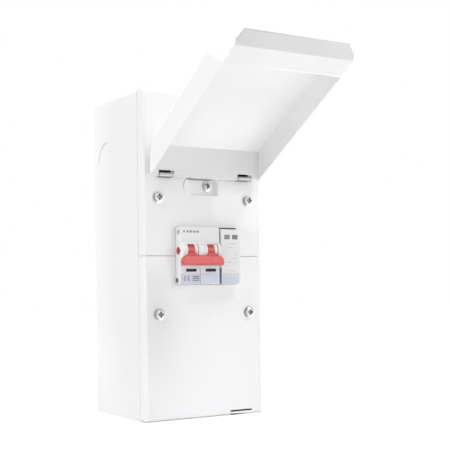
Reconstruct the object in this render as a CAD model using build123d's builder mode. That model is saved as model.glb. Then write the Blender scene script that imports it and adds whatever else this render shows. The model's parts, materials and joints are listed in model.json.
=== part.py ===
"""Consumer unit: a folded steel box with two half covers, a lid, a two-pole main switch and a surge device.

Millimetres. The back face lies on the wall plane y = 0, the front faces -Y, and z = 0 is the covers' seam.
The lid is modelled open and the switch handle down, at OFF.
"""

import os
from math import asin, cos, radians, sin

from build123d import *

os.makedirs("parts", exist_ok=True)

# Box: overall sizes and sheet
width = 107.0
height = 257.0
depth = 91.0
sheet = 1.2
tray_fold = 1.6
cover_fold = 2.2
cover_slip = 0.2
cover_return = 9.5
seam_gap = 0.35
side_seam = 0.5
tray_top_drop = 1.2

# Knockouts: half-sheared discs, sunk a little into the outside of the sheet
knockout_sink = 0.25
large_knockout = 32.0
small_knockout = 20.0
side_knockout_back = 25.5
side_knockout_rise = 79.0
end_knockout_back = 46.0
end_knockout_spread = 33.0
rear_knockout_rise = 92.0

# Wall-fixing holes in the back
wall_hole = 5.5
wall_hole_spread = 36.0
wall_hole_rise = 112.0

# Tongues of the tray that hook each cover's far end
tongue_width = 20.0
tongue_centre = 33.0
tongue_proud = 0.4
tongue_play = 0.4
notch_height = 4.0
notch_return = 3.0

# Cover screws, their lugs and the other pan-head screws
screw_shank = 4.0
screw_head = 7.2
screw_head_height = 3.4
flange_spread = 1.0
flange_thick = 0.7
rim_share = 0.6
recess_share = 0.66
recess_arm = 0.2
recess_depth = 1.7
slot_width = 1.0
slot_depth = 1.0
head_chamfer = 0.5
screw_length = 10.0
screw_play = 0.4
thread_play = 0.1
cover_screw_inset = 12.3
cover_screw_rise = 45.4
lug_sheet = 2.0
lug_height = 14.0
lug_tab = 14.0
lug_leg = 9.0

# Pocket pressed into the upper cover, with its bonding screw
pocket_left = -18.0
pocket_right = 13.4
pocket_low = 48.0
pocket_height = 13.6
pocket_depth = 3.5
pocket_draft = 22.0
bonding_screw_x = 4.3
bonding_screw_lift = 7.7
bonding_screw_head = 5.6
bonding_screw_head_height = 2.8
bonding_screw_length = 9.0
nut_across = 7.0
nut_height = 3.2

# Hinge: two C-shaped hooks around a strip of the lid's edge
hinge_rise = 62.6
hinge_proud = 4.0
hook_width = 12.4
hook_sheet = 0.6
hook_bore = 1.25
hook_inset = 14.4
hook_foot = 6.0
hook_turn = 200.0
hook_play = 0.25
hook_slot_height = 4.2

# Lid: folded from one sheet, sizes along the lid (run) and out from the box (rise) from the hinge axis
lid_side_gap = 3.25
lid_sheet = 1.0
lid_bend = 1.1
lid_open = 31.0
lid_edge = 0.6
hinge_strip = 1.0
lid_rise = 18.6
hinge_wall_run = 12.6
panel_end = 115.2
lid_foot = 126.0
lid_edge_drop = 1.1
flange_length = 17.0
flange_inset = 1.0
lip_run = 7.9
lip_rise = 7.5
lip_corner = 6.0
hinge_slot_height = 2.4
hinge_slot_play = 0.5

# Rail: 35 mm top-hat section and what carries it
rail_height = 35.0
rail_hat = 26.0
rail_depth = 7.5
rail_sheet = 1.0
rail_end_gap = 2.0
rail_screw_inset = 9.0
bracket_sheet = 1.5
bracket_height = 18.0
bracket_foot = 11.0
bracket_head = 16.0

# Rail devices with a 45 mm nose: the two poles of the switch, then the surge device
devices_left = -26.0
pole_width = 17.75
surge_width = 18.0
device_gap = 1.95
nose_height = 45.0
nose_reach = 60.0
nose_proud = 7.3
nose_round = 0.6
surge_nose_drop = 1.1
joint_groove = 0.25
joint_groove_depth = 0.8
joint_groove_top = -9.5
shoulder_reach = 44.0
device_height = 83.0
device_grip = 5.5
rail_play = 0.4
rail_bite = 2.0
opening_play = 0.3

# Rail clips
clip_width = 8.0
clip_thick = 2.5
clip_skin = 1.5
clip_play = 0.25
clip_tab = 5.0
clip_eye = 2.4

# Terminals
mouth_width = 10.0
narrow_mouth = 5.6
narrow_mouth_spread = 4.0
mouth_height = 14.0
mouth_drop = 8.0
mouth_depth = 15.0
clamp_wall = 1.5
clamp_play = 0.15
clamp_depth = 11.0
clamp_recess = 1.5
terminal_shank = 3.0
terminal_head = 4.8
terminal_head_height = 3.6
terminal_bore_play = 0.25

# Switch handle: levers on trunnions in a barrel, joined by a tie bar
handle_back = 3.2
handle_rise = 3.8
barrel_radius = 7.6
barrel_inset = 0.3
barrel_well = 7.8
well_left = 4.2
well_right = 5.9
well_core = 6.5
well_groove = 0.6
well_groove_core = 4.4
well_low = -78.0
well_high = 47.0
drum_radius = 6.6
lever_left_half = 4.0
lever_right_half = 2.6
lever_low = -58.0
lever_high = -45.0
trunnion_radius = 3.1
trunnion_play = 0.08
hub_hole = 1.3
hub_hole_spread = 1.9
hub_hole_depth = 2.0
lever_bar_gap = 0.05

# Tie bar: its section is set out from the handle's axis, forward and up
bar_inner = 7.9
bar_nose_gap = 0.6
bar_crest = (8.5, -3.9)
bar_tip = (9.5, -11.5)
bar_left_inset = 0.6
bar_overhang = 0.6
bar_round = 1.6
bar_top_corner = 3.6
bar_low_corner = 1.6
bar_edge_round = 0.6
flare_thick = 1.1
flare_top = -1.6
flare_radius = 3.2
pin_hole = 1.4
pin_hole_place = (6.2, -9.2)
pin_hole_depth = 2.0

# Switch rivets and windows
nose_rivets = [(2.6, 18.5), (5.3, -19.2)]
body_rivet_reach = 12.0
body_rivet_inset = 6.0
rivet_radius = 1.3
rivet_head = 1.8
rivet_head_height = 0.25
rivet_play = 0.1
switch_window = (9.4, 2.4)
switch_window_rise = -11.3
switch_window_shift = 0.8
surge_window = (5.3, 3.7)
surge_window_rise = 15.1
surge_window_spread = 3.68
window_depth = 1.0
window_sink = 0.15
window_play = 0.1

# Earth terminal bar
earth_bar_length = 64.0
earth_bar_lift = 30.5
earth_bar_front = 32.0
earth_bar_thick = 10.0
earth_bar_height = 9.0
earth_ways = 6
earth_way_pitch = 8.0
earth_way_bore = 4.6
earth_screw_length = 6.0
earth_screw_proud = 1.2
earth_fixing_inset = 5.0

# What follows from the sizes above
rim_width = width - 2 * (sheet + cover_slip)
rim_height = height - 2 * (sheet + cover_slip)
tray_height = height - tray_top_drop
cover_inside = depth - sheet
tray_front = depth - cover_fold
shoulder = depth - cover_return - side_seam
inner_half_width = rim_width / 2 - sheet
screw_x = width / 2 - cover_screw_inset
hinge_front = depth + hinge_proud
lid_width = width - 2 * lid_side_gap
hook_x = lid_width / 2 - hook_inset
hook_middle = hook_bore + hook_sheet / 2
hook_leg_z = hinge_rise + hook_middle
nose_front = depth + nose_proud
rail_front = nose_front - nose_reach
shoulder_front = rail_front + shoulder_reach
rail_back = rail_front - rail_depth
device_back = rail_front - device_grip
rail_half = rail_height / 2
handle_front = nose_front - handle_back
rail_length = 2 * (inner_half_width - rail_end_gap)
rail_screw_x = rail_length / 2 - rail_screw_inset
clip_front = device_back + clip_skin + clip_play + clip_thick
switch_left = devices_left
pole_joint = switch_left + pole_width
switch_right = pole_joint + pole_width
surge_left = switch_right + device_gap
surge_right = surge_left + surge_width
left_pole = (switch_left + pole_joint) / 2
right_pole = (pole_joint + switch_right) / 2
surge_centre = (surge_left + surge_right) / 2
opening_centre = (switch_left + surge_right) / 2
opening_width = surge_right - switch_left + 2 * opening_play
earth_bar_rise = earth_bar_lift - height / 2
mouth_top = shoulder_front - mouth_drop
mouth_bottom = mouth_top - mouth_height


def keep(piece, name):
    """Labels a finished piece and writes it to its own file."""
    piece.part.label = name
    export_step(piece.part, f"parts/{name}.step")


def facing(x, front, z):
    """A place on a front-facing surface, its own +Z pointing out of the box."""
    return Plane(origin=(x, -front, z), x_dir=(1, 0, 0), z_dir=(0, -1, 0)).location


def slotted_screw(shank, head, head_height, length):
    """A cheese-head screw with one slot, seated at z = 0 with its head upwards."""
    with BuildPart() as screw:
        with BuildSketch(Plane.XY.offset(-length)):
            Circle(shank / 2)
        extrude(amount=length)
        with BuildSketch(Plane.XY):
            Circle(head / 2)
        extrude(amount=head_height)
        chamfer(screw.faces().sort_by(Axis.Z)[-1].edges(), head_chamfer)
        with BuildSketch(Plane.XY.offset(head_height)):
            Rectangle(2 * head, slot_width)
        extrude(amount=-slot_depth, mode=Mode.SUBTRACT)
    return screw.part


def pan_screw(shank, head, head_height, length):
    """A pan-head screw with a flange and a cross recess, seated at z = 0 with its head upwards."""
    flange = head / 2 + flange_spread
    rim = head_height * rim_share
    dome = ((head / 2) ** 2 + (head_height - rim) ** 2) / (2 * (head_height - rim))
    half_way = asin(head / 2 / dome) / 2
    dome_middle = (dome * sin(half_way), head_height - dome + dome * cos(half_way))
    with BuildPart() as screw:
        with BuildSketch(Plane.XZ):
            with BuildLine():
                Polyline(
                    (0, head_height),
                    (0, -length),
                    (shank / 2, -length),
                    (shank / 2, 0),
                    (flange, 0),
                    (flange, flange_thick),
                    (head / 2, flange_thick),
                    (head / 2, rim),
                )
                ThreePointArc((head / 2, rim), dome_middle, (0, head_height))
            make_face()
        revolve(axis=Axis.Z)
        with BuildSketch(Plane.XY.offset(head_height)):
            Rectangle(head * recess_share, head * recess_arm)
            Rectangle(head * recess_arm, head * recess_share)
        extrude(amount=-recess_depth, mode=Mode.SUBTRACT)
    return screw.part


# Back box: one folded sheet, its rim stepped in to take the covers, with knockouts and a tongue at each end
with BuildPart() as back_tray:
    tray_middle = -tray_top_drop / 2
    with BuildSketch(Plane.XZ):
        with Locations((0, tray_middle)):
            Rectangle(width, tray_height)
    extrude(amount=shoulder)
    fillet(back_tray.faces().sort_by(Axis.Y)[-1].edges(), tray_fold)
    with BuildSketch(Plane.XZ.offset(shoulder)):
        Rectangle(rim_width, rim_height)
    extrude(amount=tray_front - shoulder)
    with BuildSketch(Plane.XZ.offset(sheet)):
        with Locations((0, tray_middle)):
            Rectangle(width - 2 * sheet, tray_height - 2 * sheet)
    extrude(amount=shoulder - 2 * sheet, mode=Mode.SUBTRACT)
    with BuildSketch(Plane.XZ.offset(2 * sheet)):
        Rectangle(rim_width - 2 * sheet, rim_height - 2 * sheet)
    extrude(amount=tray_front, mode=Mode.SUBTRACT)
    for end in (-1, 1):
        tongue_outer = end * rim_height / 2
        with BuildSketch(Plane.YZ.offset(tongue_centre)):
            with BuildLine():
                Polyline(
                    (-tray_front + sheet, tongue_outer),
                    (-tray_front + sheet, tongue_outer - end * sheet),
                    (-depth - tongue_proud, tongue_outer - end * sheet),
                    (-depth - tongue_proud, end * (height / 2 - cover_slip)),
                    (-depth - tongue_proud + sheet, end * (height / 2 - cover_slip)),
                    (-depth - tongue_proud + sheet, tongue_outer),
                    close=True,
                )
            make_face()
        extrude(amount=tongue_width / 2, both=True)
    for side in (-1, 1):
        with BuildSketch(Plane.YZ.offset(side * width / 2)):
            with Locations((-side_knockout_back, 0)):
                with GridLocations(0, 2 * side_knockout_rise, 1, 2):
                    Circle(large_knockout / 2)
        extrude(amount=-side * knockout_sink, mode=Mode.SUBTRACT)
    for end_face, inward in ((-height / 2, 1), (height / 2 - tray_top_drop, -1)):
        with BuildSketch(Plane.XY.offset(end_face)):
            with Locations((0, -end_knockout_back)):
                Circle(large_knockout / 2)
                with GridLocations(2 * end_knockout_spread, 0, 2, 1):
                    Circle(small_knockout / 2)
        extrude(amount=inward * knockout_sink, mode=Mode.SUBTRACT)
    with BuildSketch(Plane.XZ):
        with Locations((0, rear_knockout_rise), (0, -rear_knockout_rise)):
            Circle(large_knockout / 2)
    extrude(amount=knockout_sink, mode=Mode.SUBTRACT)
    with BuildSketch(Plane.XZ):
        with GridLocations(2 * wall_hole_spread, 2 * wall_hole_rise, 2, 2):
            Circle(wall_hole / 2)
    extrude(amount=2 * sheet, mode=Mode.SUBTRACT)
keep(back_tray, "back_tray")


def half_cover(end):
    """One half of the front cover: a folded panel with returns on its far end and both sides."""
    cover_height = height / 2 - seam_gap / 2
    with BuildPart() as cover:
        with BuildSketch(Plane.XZ.offset(depth - cover_return)):
            with Locations((0, end * (height / 2 - cover_height / 2))):
                Rectangle(width, cover_height)
        extrude(amount=cover_return)
        face_edges = cover.faces().sort_by(Axis.Y)[0].edges().sort_by(Axis.Z)
        fillet(face_edges[1:] if end > 0 else face_edges[:-1], cover_fold)
        open_faces = [cover.faces().sort_by(Axis.Y)[-1], cover.faces().sort_by(Axis.Z)[0 if end > 0 else -1]]
        offset(amount=-sheet, openings=open_faces)
        # Opening for the devices, notch for the tray's tongue and holes for the two screws
        with BuildSketch(Plane.XZ.offset(depth)):
            with Locations((opening_centre, 0)):
                Rectangle(opening_width, nose_height + 2 * opening_play)
            with Locations((-screw_x, end * cover_screw_rise), (screw_x, end * cover_screw_rise)):
                Circle((screw_shank + screw_play) / 2)
        extrude(amount=-2 * sheet, mode=Mode.SUBTRACT)
        with BuildSketch(Plane.XZ.offset(depth)):
            with Locations((tongue_centre, end * height / 2)):
                Rectangle(tongue_width + 2 * tongue_play, 2 * notch_height)
        extrude(amount=-notch_return, mode=Mode.SUBTRACT)
    return cover.part


def pocket_outline(grow):
    """The pocket's outline, round at its left end and square at its right, in the sketch that is open."""
    radius = pocket_height / 2
    straight = pocket_right - pocket_left - radius
    with Locations((pocket_left + radius, pocket_low + radius)):
        Circle(radius + grow)
    with Locations((pocket_right - straight / 2 + grow / 2, pocket_low + radius)):
        Rectangle(straight + grow, pocket_height + 2 * grow)


# Upper cover: pocket pressed in with drafted walls under the hinge, and a slot that each hook goes through
bonding_z = pocket_low + bonding_screw_lift
pocket_floor = depth - pocket_depth
with BuildPart() as upper_cover:
    add(half_cover(1))
    with BuildSketch(Plane.XZ.offset(cover_inside)):
        pocket_outline(sheet)
    extrude(amount=-pocket_depth, taper=pocket_draft)
    with BuildSketch(Plane.XZ.offset(depth)):
        pocket_outline(0)
    extrude(amount=-pocket_depth, taper=pocket_draft, mode=Mode.SUBTRACT)
    with BuildSketch(Plane.XZ.offset(pocket_floor)):
        with Locations((bonding_screw_x, bonding_z)):
            Circle((screw_shank + screw_play) / 2)
    extrude(amount=-2 * sheet, mode=Mode.SUBTRACT)
    with BuildSketch(Plane.XZ.offset(depth)):
        hook_slot_z = hook_leg_z - hook_sheet / 2 - hook_play + hook_slot_height / 2
        with Locations((-hook_x, hook_slot_z), (hook_x, hook_slot_z)):
            Rectangle(hook_width + 2 * hook_play, hook_slot_height)
    extrude(amount=-2 * sheet, mode=Mode.SUBTRACT)
keep(upper_cover, "upper_cover")

# Lower cover
with BuildPart() as lower_cover:
    add(half_cover(-1))
keep(lower_cover, "lower_cover")

# Lugs inside the side walls that take the cover screws
with BuildPart() as cover_lugs:
    for side in (-1, 1):
        for end in (-1, 1):
            wall_x = side * (inner_half_width - lug_sheet / 2)
            tab_y = -cover_inside + lug_sheet / 2
            with BuildSketch(Plane.XY.offset(end * cover_screw_rise)):
                with BuildLine():
                    Polyline((wall_x, tab_y + lug_leg), (wall_x, tab_y), (wall_x - side * lug_tab, tab_y))
                trace(line_width=lug_sheet)
            extrude(amount=lug_height / 2, both=True)
    with BuildSketch(Plane.XZ.offset(cover_inside)):
        with GridLocations(2 * screw_x, 2 * cover_screw_rise, 2, 2):
            Circle(screw_shank / 2 + thread_play)
    extrude(amount=-2 * lug_sheet, mode=Mode.SUBTRACT)
keep(cover_lugs, "cover_lugs")

# Four cover screws
cover_screw = pan_screw(screw_shank, screw_head, screw_head_height, screw_length)
with BuildPart() as cover_screws:
    for side in (-1, 1):
        for end in (-1, 1):
            add(cover_screw.moved(facing(side * screw_x, depth, end * cover_screw_rise)))
keep(cover_screws, "cover_screws")

# Bonding screw in the pocket and its nut behind the pocket's floor
bonding_pan_screw = pan_screw(
    screw_shank, bonding_screw_head, bonding_screw_head_height, bonding_screw_length
)
with BuildPart() as bonding_screw:
    add(bonding_pan_screw.moved(facing(bonding_screw_x, pocket_floor, bonding_z)))
keep(bonding_screw, "bonding_screw")

with BuildPart() as bonding_nut:
    with BuildSketch(Plane.XZ.offset(pocket_floor - sheet)):
        with Locations((bonding_screw_x, bonding_z)):
            RegularPolygon(nut_across / 2, 6, major_radius=False)
            Circle(screw_shank / 2 + thread_play, mode=Mode.SUBTRACT)
    extrude(amount=-nut_height)
keep(bonding_nut, "bonding_nut")

# Hinge hooks: each is a strip with a foot behind the cover, a leg through it and a curl round the hinge axis
with BuildPart() as hinge_hooks:
    for side in (-1, 1):
        foot_y = -cover_inside + hook_sheet / 2
        with BuildSketch(Plane.YZ.offset(side * hook_x)):
            with BuildLine():
                Polyline((foot_y, hook_leg_z - hook_foot), (foot_y, hook_leg_z), (-hinge_front, hook_leg_z))
                CenterArc((-hinge_front, hinge_rise), hook_middle, 90, hook_turn)
            trace(line_width=hook_sheet)
        extrude(amount=hook_width / 2, both=True)
keep(hinge_hooks, "hinge_hooks")

# Lid directions in the open position: along the lid, and out of it
lid_along = Vector(0, -cos(radians(lid_open)), sin(radians(lid_open)))
lid_out = Vector(0, sin(radians(lid_open)), cos(radians(lid_open)))
hinge_point = Vector(0, -hinge_front, hinge_rise)
lid_section = Plane(origin=hinge_point, x_dir=lid_along, z_dir=(-1, 0, 0))
lid_plan = Plane(origin=hinge_point, x_dir=(1, 0, 0), z_dir=-lid_out)
hinge_wall_length = (hinge_wall_run**2 + lid_rise**2) ** 0.5
wall_run = hinge_wall_run / hinge_wall_length
wall_rise = lid_rise / hinge_wall_length
hinge_wall_plane = Plane(
    origin=hinge_point, x_dir=(1, 0, 0), z_dir=lid_along * wall_rise - lid_out * wall_run
)

# Lid: a hollow tray whose walls slant at both ends, with a flange and a flared lip at the free end
with BuildPart() as flap_lid:
    end_slant = (lid_foot - panel_end) / (lid_rise + lid_edge_drop)
    free_edge = -lid_edge_drop - lid_sheet / 2
    wall_low = (-lid_edge * 3 * wall_run, -lid_edge * 3 * wall_rise)
    wall_top = (hinge_wall_run, lid_rise)
    panel_far = (panel_end, lid_rise)
    end_low = (lid_foot + lid_edge * 3 * end_slant, -lid_edge_drop - lid_edge * 3)
    with BuildSketch(lid_section):
        with BuildLine():
            Polyline(wall_low, wall_top, panel_far, end_low, close=True)
        make_face()
        offset(amount=lid_sheet / 2, kind=Kind.INTERSECTION)
        with BuildLine():
            Polyline(
                (-lid_foot, -2 * lid_edge - free_edge),
                (2 * lid_foot, 2 * free_edge + lid_edge),
                (2 * lid_foot, -lid_foot),
                (-lid_foot, -lid_foot),
                close=True,
            )
        make_face(mode=Mode.SUBTRACT)
    extrude(amount=lid_width / 2, both=True)
    lid_faces = flap_lid.faces().sort_by(Axis((0, 0, 0), tuple(lid_out)))
    open_edges = lid_faces[0].edges()
    fillet([edge for edge in flap_lid.edges() if edge not in open_edges], lid_bend + lid_sheet / 2)
    offset(amount=-lid_sheet, openings=[flap_lid.faces().sort_by(Axis((0, 0, 0), tuple(lid_out)))[0]])
    # Flange and lip, folded on from the end wall
    end_foot = (lid_foot, -lid_edge_drop)
    end_start = (lid_foot - 4 * lid_bend * end_slant, -lid_edge_drop + 4 * lid_bend)
    flange_end = (lid_foot + flange_length, -lid_edge_drop)
    lip_end = (lid_foot + flange_length + lip_run, -lid_edge_drop + lip_rise)
    flange_half = lid_width / 2 - flange_inset
    with BuildSketch(lid_section):
        with BuildLine():
            FilletPolyline(end_start, end_foot, flange_end, lip_end, radius=lid_bend)
        trace(line_width=lid_sheet)
    extrude(amount=flange_half, both=True)
    tip = lip_end[0] + lid_sheet
    with BuildSketch(lid_plan):
        for side in (-1, 1):
            with BuildLine():
                Polyline(
                    (side * lid_width, tip - lip_corner),
                    (side * flange_half, tip - lip_corner),
                    (side * (flange_half - lip_corner), tip),
                    (side * lid_width, tip),
                    close=True,
                )
            make_face()
    extrude(amount=lid_rise * 2, both=True, mode=Mode.SUBTRACT)
    # Slots that the hooks pass through, beside the strip that they hold
    with BuildSketch(hinge_wall_plane):
        slot_middle = hinge_strip + hinge_slot_height / 2
        with Locations((-hook_x, slot_middle), (hook_x, slot_middle)):
            Rectangle(hook_width + 2 * hinge_slot_play, hinge_slot_height)
    extrude(amount=2 * lid_sheet, both=True, mode=Mode.SUBTRACT)
keep(flap_lid, "flap_lid")

# Rail
with BuildPart() as din_rail:
    flange_y = -rail_front + rail_sheet / 2
    hat_y = -rail_back - rail_sheet / 2
    hat_z = rail_hat / 2 - rail_sheet / 2
    with BuildSketch(Plane.YZ):
        with BuildLine():
            Polyline(
                (flange_y, -rail_half),
                (flange_y, -hat_z),
                (hat_y, -hat_z),
                (hat_y, hat_z),
                (flange_y, hat_z),
                (flange_y, rail_half),
            )
        trace(line_width=rail_sheet)
    extrude(amount=rail_length / 2, both=True)
    with BuildSketch(Plane.XZ.offset(rail_back)):
        with Locations((-rail_screw_x, 0), (rail_screw_x, 0)):
            Circle((screw_shank + screw_play) / 2)
    extrude(amount=2 * rail_sheet, mode=Mode.SUBTRACT)
keep(din_rail, "din_rail")


def bracket_path(x, turn, front):
    """The middle line of a Z-shaped bracket from the back wall out to a front distance."""
    foot_y = -sheet - bracket_sheet / 2
    head_y = -front + bracket_sheet / 2
    return [(x - turn * bracket_foot, foot_y), (x, foot_y), (x, head_y), (x + turn * bracket_head, head_y)]


# Brackets that carry the rail
with BuildPart() as rail_brackets:
    with BuildSketch(Plane.XY):
        for side in (-1, 1):
            with BuildLine():
                Polyline(*bracket_path(side * (rail_screw_x - bracket_head / 2), side, rail_back))
            trace(line_width=bracket_sheet)
    extrude(amount=bracket_height / 2, both=True)
    with BuildSketch(Plane.XZ.offset(rail_back)):
        with Locations((-rail_screw_x, 0), (rail_screw_x, 0)):
            Circle(screw_shank / 2 + thread_play)
    extrude(amount=-2 * bracket_sheet, mode=Mode.SUBTRACT)
keep(rail_brackets, "rail_brackets")

# Rail screws
rail_screw = slotted_screw(screw_shank, screw_head, screw_head_height, screw_length)
with BuildPart() as rail_screws:
    for side in (-1, 1):
        add(rail_screw.moved(facing(side * rail_screw_x, rail_back + rail_sheet, 0)))
keep(rail_screws, "rail_screws")


def terminals(centre, narrow_top):
    """Where one module's terminals are: x, which end, and the mouth's width."""
    if narrow_top:
        top = [(centre + side * narrow_mouth_spread, 1, narrow_mouth) for side in (-1, 1)]
    else:
        top = [(centre, 1, mouth_width)]
    return top + [(centre, -1, mouth_width)]


def module_body(left, right, centre, nose_top, square_side=None, narrow_top=False):
    """The case of one rail module: stepped outline, rail seat, clip channel and terminal mouths.

    The nose's front edges are rounded, apart from the one at square_side, where another case joins it.
    """
    device_top = device_height / 2
    lip_front = rail_front - rail_sheet - clip_play
    seat_half = rail_half + rail_play
    with BuildPart() as body:
        with BuildSketch(Plane.YZ.offset(left)):
            with BuildLine():
                Polyline(
                    (-nose_front, -nose_height / 2),
                    (-nose_front, nose_top),
                    (-shoulder_front, nose_top),
                    (-shoulder_front, device_top),
                    (-device_back, device_top),
                    (-device_back, rail_half - rail_bite),
                    (-lip_front, rail_half - rail_bite),
                    (-lip_front, seat_half),
                    (-rail_front, seat_half),
                    (-rail_front, -seat_half),
                    (-device_back, -seat_half),
                    (-device_back, -device_top),
                    (-shoulder_front, -device_top),
                    (-shoulder_front, -nose_height / 2),
                    close=True,
                )
            make_face()
        extrude(amount=right - left)
        front_edges = body.faces().sort_by(Axis.Y)[0].edges()
        fillet([edge for edge in front_edges if edge.center().X != square_side], nose_round)
        with BuildSketch(Plane.XZ.offset(device_back + clip_skin)):
            with Locations((centre, -device_height / 2)):
                Rectangle(clip_width + 2 * clip_play, device_height - 2 * seat_half)
        extrude(amount=clip_thick + 2 * clip_play, mode=Mode.SUBTRACT)
        for x, end, mouth in terminals(centre, narrow_top):
            with BuildSketch(Plane.XY.offset(end * device_top)):
                with Locations((x, -(mouth_top + mouth_bottom) / 2)):
                    Rectangle(mouth, mouth_height)
            extrude(amount=-end * mouth_depth, mode=Mode.SUBTRACT)
            with BuildSketch(Plane.XZ.offset(shoulder_front)):
                with Locations((x, end * (device_top - clamp_recess - clamp_depth / 2))):
                    Circle(terminal_head / 2 + terminal_bore_play)
            extrude(amount=-mouth_drop, mode=Mode.SUBTRACT)
    return body.part


def module_clamps(centre, narrow_top=False):
    """Cage clamps of one module, each a square tube with a hole for its screw."""
    with BuildPart() as clamps:
        for x, end, mouth in terminals(centre, narrow_top):
            cage = mouth - 2 * clamp_play
            cage_height = mouth_height - 2 * clamp_play
            wall = min(clamp_wall, cage / 5)
            with BuildSketch(Plane.XY.offset(end * (device_height / 2 - clamp_recess))):
                with Locations((x, -(mouth_top + mouth_bottom) / 2)):
                    Rectangle(cage, cage_height)
                    Rectangle(cage - 2 * wall, cage_height - 2 * wall, mode=Mode.SUBTRACT)
            extrude(amount=-end * clamp_depth)
            with BuildSketch(Plane.XZ.offset(mouth_top)):
                with Locations((x, end * (device_height / 2 - clamp_recess - clamp_depth / 2))):
                    Circle(terminal_shank / 2 + thread_play)
            extrude(amount=-mouth_height / 2, mode=Mode.SUBTRACT)
    return clamps.part


def module_screws(centre, narrow_top=False):
    """Terminal screws of one module, seated on their clamps."""
    screw = slotted_screw(terminal_shank, terminal_head, terminal_head_height, mouth_height / 2)
    with BuildPart() as screws:
        for x, end, mouth in terminals(centre, narrow_top):
            z = end * (device_height / 2 - clamp_recess - clamp_depth / 2)
            add(screw.moved(facing(x, mouth_top - clamp_play, z)))
    return screws.part


def rail_clip(centre):
    """A sliding clip: a bar whose top bites behind the rail, with an eye at its lower end."""
    clip_top = -(rail_half - rail_bite)
    clip_low = -device_height / 2 - clip_tab
    with BuildPart() as clip:
        with BuildSketch(Plane.XZ.offset(clip_front)):
            with Locations((centre, (clip_top + clip_low) / 2)):
                Rectangle(clip_width, clip_top - clip_low)
            with Locations((centre, clip_low + clip_tab / 2)):
                SlotCenterToCenter(clip_eye, clip_eye, mode=Mode.SUBTRACT)
        extrude(amount=-clip_thick)
    return clip.part


# Rivets that hold the two poles: front distance and height of each
rivet_places = [(nose_front - back, z) for back, z in nose_rivets]
rivet_places += [
    (rail_front + body_rivet_reach, end * (device_height / 2 - body_rivet_inset)) for end in (-1, 1)
]


def handle_plane(x):
    """A plane across the handle's axis, with its own x running forward and its own y up."""
    return Plane(origin=(x, -handle_front, handle_rise), x_dir=(0, -1, 0), z_dir=(-1, 0, 0))


def handle_direction(angle, reach):
    """A point at an angle above the forward direction, from the handle's axis."""
    return (reach * cos(radians(angle)), reach * sin(radians(angle)))


def sector(low, high, reach):
    """Corners of a wedge that holds a sector of that reach, with its point on the handle's axis."""
    far = 3 * reach
    middle = handle_direction((low + high) / 2, far)
    return [(0, 0), handle_direction(low, far), middle, handle_direction(high, far)]


def switch_pole(left, right, centre):
    """One pole of the main switch: a module with a barrel over the handle, its well and a window recess."""
    barrel_left = max(left, switch_left + barrel_inset)
    barrel_right = min(right, switch_right - barrel_inset)
    well_start = centre - well_left
    well_end = centre + well_right
    core_start = centre + lever_right_half + (well_left - lever_left_half)
    with BuildPart() as pole:
        add(module_body(left, right, centre, nose_height / 2, pole_joint))
        with BuildSketch(handle_plane(barrel_right)):
            Circle(barrel_radius)
        extrude(amount=barrel_right - barrel_left)
        # Slot that the lever swings in, a narrow groove along its right side, and the drum's chamber
        for core, run in ((well_core, well_end - well_start), (well_groove_core, well_groove)):
            with BuildSketch(handle_plane(well_end)):
                Circle(barrel_well)
                with BuildLine():
                    Polyline(*sector(well_low, well_high, barrel_well), close=True)
                make_face(mode=Mode.INTERSECT)
                Circle(core, mode=Mode.SUBTRACT)
            extrude(amount=run, mode=Mode.SUBTRACT)
        with BuildSketch(handle_plane(core_start)):
            Circle(drum_radius + well_left - lever_left_half)
        extrude(amount=core_start - well_start, mode=Mode.SUBTRACT)
        with BuildSketch(handle_plane(right)):
            Circle(trunnion_radius + trunnion_play)
        extrude(amount=right - left, mode=Mode.SUBTRACT)
        with BuildSketch(Plane.YZ.offset(left)):
            with Locations(*[(-front, z) for front, z in rivet_places]):
                Circle(rivet_radius + rivet_play)
        extrude(amount=right - left, mode=Mode.SUBTRACT)
        with BuildSketch(Plane.XZ.offset(nose_front)):
            with Locations((centre + switch_window_shift, switch_window_rise)):
                Rectangle(*switch_window)
        extrude(amount=-window_depth, mode=Mode.SUBTRACT)
        with BuildSketch(Plane.XZ.offset(nose_front)):
            with Locations((pole_joint, joint_groove_top - nose_height / 2)):
                Rectangle(2 * joint_groove, nose_height)
        extrude(amount=-joint_groove_depth, mode=Mode.SUBTRACT)
    return pole.part


# Main switch cases
with BuildPart() as switch_case_left:
    add(switch_pole(switch_left, pole_joint, left_pole))
keep(switch_case_left, "switch_case_left")

with BuildPart() as switch_case_right:
    add(switch_pole(pole_joint, switch_right, right_pole))
keep(switch_case_right, "switch_case_right")

with BuildPart() as switch_rivets:
    for front, z in rivet_places:
        with BuildSketch(Plane.YZ.offset(switch_left)):
            with Locations((-front, z)):
                Circle(rivet_radius)
        extrude(amount=switch_right - switch_left)
        for face_x, outward in ((switch_left, -1), (switch_right, 1)):
            with BuildSketch(Plane.YZ.offset(face_x)):
                with Locations((-front, z)):
                    Circle(rivet_head)
            extrude(amount=outward * rivet_head_height)
keep(switch_rivets, "switch_rivets")

with BuildPart() as switch_clamps:
    add(module_clamps(left_pole))
    add(module_clamps(right_pole))
keep(switch_clamps, "switch_clamps")

with BuildPart() as switch_terminal_screws:
    add(module_screws(left_pole))
    add(module_screws(right_pole))
keep(switch_terminal_screws, "switch_terminal_screws")

with BuildPart() as switch_clip_left:
    add(rail_clip(left_pole))
keep(switch_clip_left, "switch_clip_left")

with BuildPart() as switch_clip_right:
    add(rail_clip(right_pole))
keep(switch_clip_right, "switch_clip_right")


def windows(places, size):
    """Window inserts that lie a little below the nose's face."""
    with BuildPart() as panes:
        with BuildSketch(Plane.XZ.offset(nose_front - window_depth)):
            with Locations(*places):
                Rectangle(size[0] - 2 * window_play, size[1] - 2 * window_play)
        extrude(amount=window_depth - window_sink)
    return panes.part


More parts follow.
